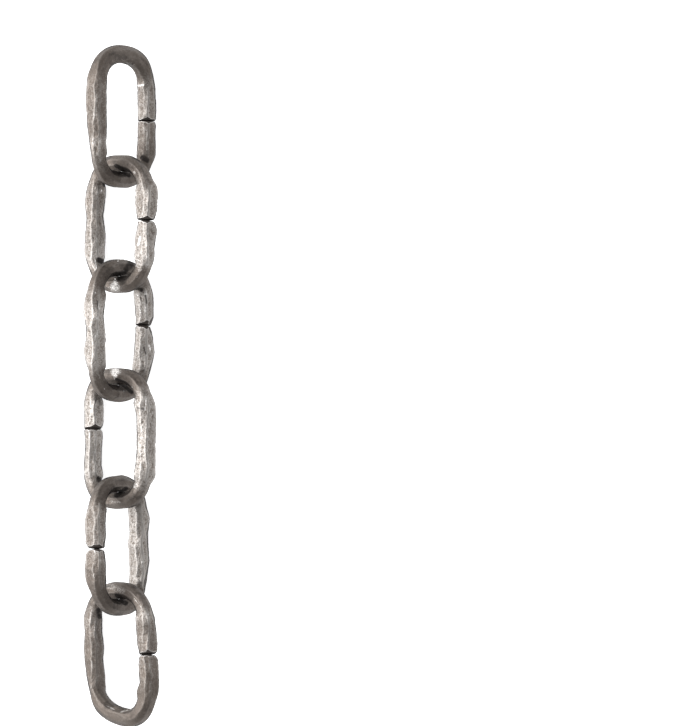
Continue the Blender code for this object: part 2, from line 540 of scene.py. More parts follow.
@dataclass
class HammeredLink:
    """One link of square bar with hammered corners, bent round to a butt gap.

    Attributes:
        name: The CAD node and body it stands for.
        plan: Its sizes.
        centre: Where its middle is, in m.
        yaw: How far it is turned about the upright, in radians.
        seed: Start of its random draws.
        bar: Its bar.
        wear: How its wear is worked out.
        grid: How finely it is divided.
    """

    name: str
    plan: LinkPlan
    centre: Vector
    yaw: float
    seed: int
    bar: BarSize = field(default_factory=BarSize)
    wear: WearSize = field(default_factory=WearSize)
    grid: GridSize = field(default_factory=GridSize)

    def __post_init__(self) -> None:
        """Works out the path and the grid that every other method reads."""
        bar = self.bar
        self.chance = np.random.default_rng(self.seed)
        self.path = bar_path(self.plan, bar, self.grid)
        self.angles = np.arange(self.grid.columns) * math.tau / self.grid.columns
        self.grain = Grain(
            rows=self.grid.rows,
            columns=self.grid.columns,
            row_step=self.path.along[-1] / (self.grid.rows - 1),
            column_step=math.tau * bar.face / self.grid.columns,
        )
        turned = np.degrees(self.path.turned)
        self.roundness = smooth_step((turned - bar.round_from) / (bar.round_full - bar.round_from))
        self.top_height = self.grain.noise(self.chance, bar.top_grain, WHOLE_BAR)[:, 0]
        self.top_lean = self.grain.noise(self.chance, bar.top_grain, WHOLE_BAR)[:, 0]

    def strand_share(self, strand: Strand) -> Array:
        """1 on one strand and 0 on the other, changing smoothly round the bends."""
        reach = self.path.across / (self.plan.width / 2)
        return smooth_step(0.5 + 0.5 * strand.value * reach)

    def shape(self, strand: Strand) -> StrandShape:
        """The faces of one strand."""
        return self.plan.high if strand is Strand.HIGH else self.plan.low

    def at_rows(self, knots: Knots) -> Array:
        """Reads (y of the chain, value) knots at every row, with straight runs between them."""
        places = np.array(sorted(knots), dtype=float)
        y = self.path.forward + self.centre.y / MM
        return np.interp(y, places[:, 0], places[:, 1])

    def face_rows(self, strand: Strand, flat: Flat) -> tuple[Array, Array]:
        """Where one face of the bar would be if the whole link were like one of its strands.

        Args:
            strand: The strand.
            flat: The face, as it is called on that strand.

        Returns:
            Its distance from the bar's centre in mm, and how far it is turned in radians from
            outwards towards the link's upper side, both at every row.
        """
        bar, shape = self.bar, self.shape(strand)
        on_right = self.plan.on_right(strand)
        plain = np.full(self.grid.rows, bar.corner if flat is Flat.UNDER else bar.face)
        turn = np.zeros(self.grid.rows)
        if flat is Flat.TOP:
            plain = bar.corner + bar.top_play * self.top_height
            leftwards = 1.0 if on_right else -1.0
            turn = leftwards * np.radians(self.at_rows(shape.lean) + bar.top_turn * self.top_lean)
        elif flat in (Flat.OUT_UP, Flat.IN_UP):
            faces_right = on_right == (flat is Flat.OUT_UP)
            plain += (shape.right_up if faces_right else shape.left_up) - bar.face
        elif flat in (Flat.OUTER, Flat.INNER):
            faces_right = on_right == (flat is Flat.OUTER)
            side = self.at_rows(shape.right if faces_right else shape.left)
            upwards = math.radians(bar.right_turn if faces_right else bar.left_turn)
            ridge = side - bar.face * math.sqrt(2)
            plain = side * math.cos(upwards) + ridge * math.sin(upwards)
            turn += upwards if flat is Flat.OUTER else -upwards
        return plain, turn

    def plane(self, angle: Array, height: Array) -> Array:
        """Distance from the bar's centre to a plane, at each point of the grid.

        The section is twisted so that its corners stay level on a link that leans more or less
        than 45 degrees.

        Args:
            angle: Direction the plane faces at each row, in radians, from outwards to the
                link's upper side.
            height: Its distance from the centre at each row, in mm.

        Returns:
            The height over the cosine of the angle between a column and the plane's direction.
        """
        level = math.radians(self.plan.lean - 45.0)
        twist = -level * self.path.across / (self.plan.width / 2)
        facing = np.cos(self.angles[None, :] - (angle + twist)[:, None])
        return height[:, None] / np.maximum(facing, LEAST_COSINE)

    def blows(self, angle: Array, plain: Array) -> list[Array]:
        """Surfaces that the blows on one face of the bar would leave.

        A blow is a plane square to its direction, at the plain distance plus its own depth, and
        it rises along the bar by the square of the distance from its middle over twice its
        hollow radius.

        Args:
            angle: Direction of the face at each row, in radians.
            plain: Distance of the face from the bar's centre at each row, in mm.

        Returns:
            Distance from the centre at each point of the grid, one array for each blow.
        """
        bar = self.bar
        along = self.path.along
        count = max(2, round(along[-1] / bar.blow_pitch))
        pitch = along[-1] / count
        surfaces = []
        for index in range(count):
            stray = self.chance.uniform(-bar.blow_stray, bar.blow_stray)
            middle = (index + 0.5 + stray) * pitch
            depth = self.chance.uniform(-1.0, 1.0) * bar.blow_depth
            turn = math.radians(self.chance.uniform(-1.0, 1.0) * bar.blow_turn)
            tilt = self.chance.uniform(-1.0, 1.0) * bar.blow_tilt
            away = along - middle
            height = plain + depth + tilt * away + away**2 / (2 * bar.blow_radius)
            surfaces.append(self.plane(angle + turn, height))
        return surfaces

    def section(self) -> Array:
        """Works out the bar's hammered section.

        Eight faces, about 45 degrees apart, are cut by their planes or blows, and the least
        distance counts. Where a bend is half round or more, it is kept within the crown radius,
        or close to the flats of a free bend. On the inner side of the hooked bends, where two
        links bear on each other, stands a narrow crest, as a Gaussian of the distance aside.

        Returns:
            Distance from the bar's centre to its surface at each point of the grid, in mm.
        """
        bar = self.bar
        free = np.where(self.path.end > 0, self.plan.top_free, self.plan.bottom_free)
        bend_flat = np.where(free, bar.free_flat, bar.bend_flat)
        surfaces = []
        for face in range(FACES):
            towards = face * math.tau / FACES
            plain, angle = np.zeros(self.grid.rows), np.full(self.grid.rows, towards)
            for strand in Strand:
                distance, turn = self.face_rows(strand, Flat((face + strand.value) % FACES))
                share = self.strand_share(strand)
                plain += share * distance
                angle += share * turn * (1.0 - self.roundness)
            swell = bar.bend_swell * max(math.cos(towards), 0.0)
            plain += (bend_flat + swell - plain) * self.roundness
            if face % 2:
                surfaces.append(self.plane(angle, plain))
            else:
                surfaces += self.blows(angle, plain)
        shaped = soft_minimum(np.array(surfaces), bar.ridge)

        most = np.where(free, bar.free_flat + bar.free_spare, bar.crown_radius)[:, None]
        most = most + bar.bend_swell * np.maximum(np.cos(self.angles), 0.0)
        held = smooth_step(self.roundness * 2.0)[:, None]
        shaped = shaped - held * np.maximum(shaped - most, 0.0)
        aside = (self.angles - math.pi)[None, :] * bar.crown_radius
        turned = np.degrees(self.path.turned)
        hooked = np.where(free, 0.0, smooth_step(turned / bar.crest_from - 1.0))
        self.crest = hooked[:, None] * np.exp(-(aside**2) / (2 * bar.crest_spread**2))
        from_crown = np.radians(90.0 - turned) * self.plan.width / 2
        start, reach = bar.crest_reach
        growth = bar.crest_growth * smooth_step((np.abs(from_crown) - start) / reach)
        return shaped + self.crest * (most + bar.crest + growth[:, None] - shaped)

    def relief(self) -> Array:
        """Works out the small relief on the section.

        Lumps, scale, fine grain and pits are less in the bends, which have drawn marks instead.
        None of it is on the crests, so that the links stay clear of each other.

        Returns:
            Change of the distance from the bar's centre at each point of the grid, in mm.
        """
        bar = self.bar
        heights = {}
        for kind in Relief:
            along, around, height = kind.value
            noise = self.grain.noise(self.chance, along, around)
            if kind is Relief.PITS:
                noise = np.clip(noise - bar.pit_start, 0.0, bar.pit_depth)
            heights[kind] = height * noise
        drawn = heights.pop(Relief.DRAWN) * self.roundness[:, None] * (1.0 - self.crest)
        calm = (1.0 - bar.bend_calm * self.roundness[:, None]) * (1.0 - self.crest)
        return calm * sum(heights.values()) + drawn

    def from_end(self) -> Array:
        """Length of bar from each row to the nearer end face, in mm, as a column."""
        along = self.path.along
        return np.minimum(along, along[-1] - along)[:, None]

    def surface(self) -> tuple[Array, dict[Attribute, Array]]:
        """The bar's surface without its end faces, with what the finish is told of it.

        Near its ends the bar is cut by a cone whose radius is the end face's, plus the slope
        times the distance from the end.

        Returns:
            Distance from the bar's centre in mm and the attributes, all at each point of the
            grid.
        """
        bar, wear = self.bar, self.wear
        smooth = self.section()
        radius = smooth + self.relief()
        cone = bar.lip + bar.lip_slope * self.from_end() + np.zeros_like(radius)
        worn_lip = smooth_step(1.0 - (cone - radius) / bar.lip_shade)
        radius = soft_minimum(np.array([radius, cone]), bar.lip_blend)
        sharp = smooth - self.grain.filtered(smooth, *wear.edge_blur)
        start, growth = wear.edge_height
        return radius, {
            Attribute.PROUD: radius - self.grain.filtered(radius, *wear.proud_blur),
            Attribute.EDGE: smooth_step((sharp - start) / growth),
            Attribute.BEND: self.spread(self.roundness),
            Attribute.STREAK: self.grain.noise(self.chance, *wear.streak),
            Attribute.WORN: self.spread(self.worn()),
            Attribute.LIP: worn_lip**2,
        }

    def points(self) -> tuple[Array, dict[Attribute, Array]]:
        """The link's vertices in the chain's frame, with their attributes.

        An end face is a stack of ever smaller rings. It swells into the gap by one less the
        square of a ring's size. Both end faces lean the same way, so that the gap is a slanting
        slit, and the lean dies away along the bar.

        Returns:
            Rows by columns by 3 in m, with the rows of both end faces, and the attributes.
        """
        bar, path, grid = self.bar, self.path, self.grid
        radius, attributes = self.surface()
        share = 1.0 - (np.arange(grid.cap_rows) + 1.0) / (grid.cap_rows + 0.5)
        order = np.concatenate([np.zeros(grid.cap_rows, int), np.arange(grid.rows)])
        order = np.concatenate([order, np.full(grid.cap_rows, grid.rows - 1)])
        size = np.concatenate([share[::-1], np.ones(grid.rows), share])
        cap = np.ones(grid.cap_rows)
        way = np.concatenate([-cap, np.zeros(grid.rows), cap])
        swell = way * (self.plan.gap_width - bar.face_play) / 2 * (1.0 - size**2)
        radius = radius[order] * size[:, None]
        out = radius * np.cos(self.angles)
        up = radius * np.sin(self.angles)
        lean = math.radians(self.plan.lean)
        rise = out * math.sin(lean) * np.sign(path.across[order])[:, None] + up * math.cos(lean)
        near_end = smooth_step(1.0 - self.from_end()[order] / bar.slant_reach)
        slant = self.plan.face_slant * rise * near_end
        points = self.placed(out, up, order, swell[:, None] + slant)
        grown = {key: values[order] for key, values in attributes.items()}
        grown[Attribute.LIP] = np.where(way[:, None] == 0, grown[Attribute.LIP], 1.0)
        return points, grown

    def worn(self) -> Array:
        """How far the bar is rubbed bright at each row, blended round the bends."""
        return sum(
            self.strand_share(strand) * self.at_rows(self.shape(strand).worn) for strand in Strand
        )

    def spread(self, rows: Array) -> Array:
        """The same value all round the bar, at each row."""
        return np.repeat(rows[:, None], self.grid.columns, axis=1)

    def placed(self, out: Array, up: Array, order: Array, shift: Array) -> Array:
        """Turns distances from the path into points of the chain's frame.

        Args:
            out: Distance out of the link at each point, in mm.
            up: Distance up from the link's plane.
            order: The row of the path that each row of points belongs to.
            shift: How far each point is moved along the chain, in mm.

        Returns:
            Rows by columns by 3, in m.
        """
        path = self.path
        sign = self.plan.high_side.value
        local = np.stack(
            [
                sign * (path.across[order, None] + out * path.out_across[order, None]),
                path.forward[order, None] + out * path.out_forward[order, None] + shift,
                up,
            ],
            axis=-1,
        )
        turn = Euler((0.0, -sign * math.radians(self.plan.lean), self.yaw)).to_matrix()
        placed = local @ np.array(turn).T * MM + np.array(self.centre)
        placed[..., 2] = np.maximum(placed[..., 2], 0.0)
        return placed

    def build(self) -> bpy.types.Object:
        """Makes the link's mesh, closed at both ends, with its faces outwards.

        Returns:
            The new object, at the origin.
        """
        points, attributes = self.points()
        rows, columns = points.shape[:2]
        poles = np.stack([points[0].mean(axis=0), points[-1].mean(axis=0)])
        corners = np.concatenate([points.reshape(-1, 3), poles])

        here = np.arange(rows * columns).reshape(rows, columns)
        beside = np.roll(here, -1, axis=1)
        quads = np.stack([here[:-1], beside[:-1], beside[1:], here[1:]], axis=-1).reshape(-1, 4)
        first = np.full(columns, rows * columns)
        start_fan = np.stack([first, beside[0], here[0]], axis=-1)
        end_fan = np.stack([first + 1, here[-1], beside[-1]], axis=-1)
        if self.plan.high_side.value * self.plan.gap_strand.value > 0:
            quads, start_fan, end_fan = quads[:, ::-1], start_fan[:, ::-1], end_fan[:, ::-1]

        mesh = bpy.data.meshes.new(self.name + "_hammered")
        mesh.from_pydata(corners, [], [*quads.tolist(), *start_fan.tolist(), *end_fan.tolist()])
        mesh.shade_smooth()
        for which, values in attributes.items():
            flat = values.ravel()
            store(mesh, which, np.concatenate([flat, flat[:1], flat[-1:]]))
        self.mark(mesh)
        return new_object(self.name + "_hammered", mesh)

    def mark(self, mesh: bpy.types.Mesh) -> None:
        """Stores what depends on the way each vertex faces and on its place seen from above.

        The underside shade is 1 where the link faces the floor or sideways, and no hand rubs it:
        there it is rubbed less and has painted shade. The rubbed patches with painted highlights,
        and the painted shadows, are the strongest of the plan's strokes, on the upper side alone.

        Args:
            mesh: The link's mesh.
        """
        count = len(mesh.vertices)
        normals, points = np.empty(count * 3, np.float32), np.empty(count * 3, np.float32)
        mesh.vertices.foreach_get("normal", normals)
        mesh.vertices.foreach_get("co", points)
        upwards = normals.reshape(-1, 3)[:, 2]
        x, y = points.reshape(-1, 3)[:, 0] / MM, points.reshape(-1, 3)[:, 1] / MM
        # painted shade on the faces turned down or sideways, where nothing rubs
        start, growth = self.wear.clear_rise
        store(mesh, Attribute.SHELTER, 1.0 - smooth_step((upwards - start) / growth))
        # rubbed patches with painted highlights, and painted shadows, from the plan's strokes
        start, growth = self.wear.open_rise
        above = smooth_step((upwards - start) / growth)
        plan = self.plan
        for which, made in ((Attribute.GLINT, plan.rubs_and_highlights), (Attribute.SOOT, plan.soot)):
            covers = [stroke.cover(x, y) for stroke in made] or [np.zeros(count)]
            store(mesh, which, above * np.max(covers, axis=0))

    def dress(self, thing: bpy.types.Object, finish: bpy.types.Material) -> None:
        """Gives the link its finish and ties it to the CAD body that it stands for.

        Args:
            thing: The link's object.
            finish: Its material.
        """
        thing.data.materials.append(finish)
        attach(thing, self.name)
        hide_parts(self.name)


# Materials


class Graph:
    """A material's node tree, and the one way in which nodes are added to it."""

    def __init__(self, name: str) -> None:
        """Starts a material that holds a Principled shader alone."""
        self.material = bpy.data.materials.new(name)
        self.material.use_nodes = True
        self.shader = self.material.node_tree.nodes["Principled BSDF"]

    def node(
        self,
        kind: str,
        settings: dict[str, object] | None = None,
        inputs: dict[str | int, object] | None = None,
        output: str | int = 0,
    ) -> "Signal":
        """Adds a node.

        Args:
            kind: Blender's name for the type of node.
            settings: The node's own properties, which are set first.
            inputs: Values or signals by the name or number of the socket.
            output: The socket that is read.

        Returns:
            The node's output as a signal.
        """
        made = self.material.node_tree.nodes.new(kind)
        for key, value in (settings or {}).items():
            setattr(made, key, value)
        for key, value in (inputs or {}).items():
            self.feed(made.inputs[key], value)
        return Signal(self, made.outputs[output])

    def feed(self, socket: bpy.types.NodeSocket, value: object) -> None:
        """Links a signal to a socket, or sets the socket to a plain value."""
        if isinstance(value, Signal):
            self.material.node_tree.links.new(value.socket, socket)
        else:
            socket.default_value = value

    def attribute(self, which: Attribute) -> "Signal":
        """The value of one of the mesh's attributes."""
        return self.node(
            "ShaderNodeAttribute", {"attribute_name": which.value}, output="Fac"
        )

    def noise(self, where: "Signal", grain: float, detail: float = 2.0) -> "Signal":
        """Noise from 0 to 1 whose grains are about so many millimetres wide."""
        return self.node(
            "ShaderNodeTexNoise",
            inputs={"Vector": where, "Scale": 1 / (grain * MM), "Detail": detail},
            output="Fac",
        )

    def blend(self, share: "Signal", other: "Signal") -> None:
        """Goes from the Principled shader to another one as the share goes from 0 to 1."""
        own = Signal(self, self.shader.outputs[0])
        both = self.node("ShaderNodeMixShader", inputs={0: share, 1: own, 2: other})
        self.feed(self.material.node_tree.nodes["Material Output"].inputs["Surface"], both)

    def mix(self, share: "Signal", first: object, second: object) -> "Signal":
        """A colour that goes from the first to the second as the share goes from 0 to 1."""
        return self.node(
            "ShaderNodeMix", {"data_type": "RGBA"}, {0: share, 6: first, 7: second}, output=2
        )


class Signal:
    """A node's output, on which sums can be written as Python expressions."""

    def __init__(self, graph: Graph, socket: bpy.types.NodeSocket) -> None:
        """Wraps an output socket of the graph."""
        self.graph = graph
        self.socket = socket

    def math(self, operation: str, *values: object) -> "Signal":
        """The result of a Math node on some values."""
        return self.graph.node(
            "ShaderNodeMath", {"operation": operation}, dict(enumerate(values))
        )

    def __add__(self, other: object) -> "Signal":
        """The sum with another signal or number."""
        return self.math("ADD", self, other)

    def __radd__(self, other: object) -> "Signal":
        """The sum with a number on the left."""
        return self.math("ADD", other, self)

    def __sub__(self, other: object) -> "Signal":
        """The difference from another signal or number."""
        return self.math("SUBTRACT", self, other)

    def __rsub__(self, other: object) -> "Signal":
        """A number less this signal."""
        return self.math("SUBTRACT", other, self)

    def __mul__(self, other: object) -> "Signal":
        """The product with another signal or number."""
        return self.math("MULTIPLY", self, other)

    def __rmul__(self, other: object) -> "Signal":
        """The product with a number on the left."""
        return self.math("MULTIPLY", other, self)

    def rise(self, low: float, high: float) -> "Signal":
        """Goes smoothly from 0 to 1 as this signal goes from low to high."""
        return self.graph.node(
            "ShaderNodeMapRange",
            {"interpolation_type": "SMOOTHSTEP"},
            {"Value": self, "From Min": low, "From Max": high},
        )


@dataclass(frozen=True)
class HammeredIron:
    """Dark iron with a warm skin in its bends and hollows, rubbed bright on its flats, with painted
    highlights, painted shadows and painted shade on its undersides.

    Attributes:
        skin: Colour of the dark skin.
        bare: Colour of the plain flats.
        rubbed: Colour where the iron is rubbed bright.
        bright: Colour of the painted highlights, and of the worn rims and lips.
        stain_and_shade: Near-black colour of the stains in the bends, the painted shadows, the
            painted shade on the undersides and the end faces.
        cloud: Size of the slow changes of tone, in mm.
        mottle: Size of the blotches, in mm.
        speckle: Size of the speckle, in mm.
        pitting: Size of the pits, in mm.
        roughness: Roughness of the bare iron.
        metallic: How metallic it is.
        bump: Height of the finest relief, in mm, which only the shading shows.
    """

    skin: Colour = (0.097, 0.081, 0.070, 1.0)
    bare: Colour = (0.130, 0.107, 0.090, 1.0)
    rubbed: Colour = (0.335, 0.316, 0.300, 1.0)
    bright: Colour = (0.80, 0.785, 0.77, 1.0)
    stain_and_shade: Colour = (0.022, 0.019, 0.018, 1.0)
    cloud: float = 4.0
    mottle: float = 1.5
    speckle: float = 0.6
    pitting: float = 0.9
    roughness: float = 0.52
    metallic: float = 0.85
    bump: float = 0.17

    def build(self) -> bpy.types.Material:
        """Makes the material.

        A mask goes from 0 to 1 as a sum of noises and attributes rises between two levels, and
        the weights in the sum say how much each of them moves the mask's edge. A coat of colour
        goes over those before it where its mask is.

        Returns:
            A material that reads object coordinates and the mesh's attributes.
        """
        graph = Graph("hammered_iron")
        where = graph.node("ShaderNodeTexCoord", output="Object")
        bend, proud, edge, streak, worn, lip, shelter, glint, soot = (
            graph.attribute(which) for which in Attribute
        )
        cloud = graph.noise(where, self.cloud)
        mottle = graph.noise(where, self.mottle, 3.0)
        speckle = graph.noise(where, self.speckle, 3.0)
        pits = graph.noise(where, self.pitting, 1.0)

        # Flats without their skin, and speckle that is rubbed bright on what stands proud
        flat = (worn * (1 - 0.8 * bend) + 0.35 * (cloud - 0.5) + 0.02 * streak).rise(-0.1, 0.9)
        exposed = 5.0 * proud + 0.15 * edge
        rub = (speckle + 0.4 * (mottle - 0.5) + 0.3 * exposed + 0.25 * flat).rise(0.35, 0.85)
        rub = rub * (0.06 + 0.84 * flat) * (1 - 0.6 * shelter)

        # Bright rims on some of the ridges, and the plan's rubbed patches, whose brightest spots
        # are painted highlights
        rim = edge * (cloud + 0.8 * mottle + 0.5 * speckle).rise(1.25, 1.45)
        rim = rim * 0.6 * flat * (1 - bend)
        rub_and_highlight_patch = (0.7 * glint + 1.1 * (speckle - 0.5) + 0.6 * (mottle - 0.5)).rise(0.25, 0.75)
        painted_highlight = (speckle + 1.2 * glint).rise(1.45, 1.85)

        # Pits, stains in the bends, and the plan's painted shadows
        dark = (pits - 0.1 * exposed).rise(0.64, 0.74) * (0.5 - 0.2 * bend)
        stain = (1 - cloud + 0.5 * (0.5 - mottle) + 0.04 * streak).rise(0.5, 0.75) * bend * 0.5
        painted_shadow_mask = (soot + 1.0 * (mottle - 0.5) + 0.5 * (speckle - 0.5)).rise(0.05, 1.25)

        # Worn lips round the end faces, and the end faces themselves, which are made dark and
        # without gloss
        rounded = lip.rise(0.05, 0.35) * speckle
        dark_end_face = lip.rise(0.6, 0.9)

        colour = self.skin
        for mask, coat in (
            (flat, self.bare),
            (rub, self.rubbed),
            (rim, self.bright),
            # rubbed patches, white where a painted highlight is
            (rub_and_highlight_patch, graph.mix(painted_highlight, self.rubbed, self.bright)),
            (dark, self.skin),
            (stain, self.stain_and_shade),
            # painted shadows, and painted shade on the sides turned down or sideways
            (painted_shadow_mask, self.stain_and_shade),
            (0.6 * shelter, self.stain_and_shade),
            (rounded, self.bright),
            (dark_end_face, graph.mix(mottle, self.stain_and_shade, self.skin)),
        ):
            colour = graph.mix(mask, colour, coat)

        shader = graph.shader
        matt = 0.4 * painted_shadow_mask + 0.6 * dark_end_face
        graph.feed(shader.inputs["Base Color"], colour)
        graph.feed(
            shader.inputs["Roughness"],
            self.roughness - 0.06 * rub + 0.15 * (mottle - 0.5) + 0.4 * matt,
        )
        metallic = self.metallic + (1 - self.metallic) * rub
        graph.feed(shader.inputs["Metallic"], metallic * (1 - 0.7 * matt))
        height = 0.8 * speckle + 0.4 * mottle - 0.9 * dark + 0.04 * streak
        bump = graph.node(
            "ShaderNodeBump", inputs={"Height": height, "Strength": 1.0, "Distance": self.bump * MM}
        )
        graph.feed(shader.inputs["Normal"], bump)

        # A dark shader without any gloss: painted shade, which takes the gloss off the painted
        # shadows and the sides turned down or sideways
        scale = graph.node(
            "ShaderNodeBsdfPrincipled",
            inputs={"Base Color": self.stain_and_shade, "Roughness": 1.0, "Specular IOR Level": 0.0},
        )
        painted_shade_share = 0.7 * (shelter * (1.3 - 0.6 * speckle) - 0.4).rise(0.0, 0.7) + 0.8 * painted_shadow_mask
        graph.blend(painted_shade_share, scale)
        return graph.material
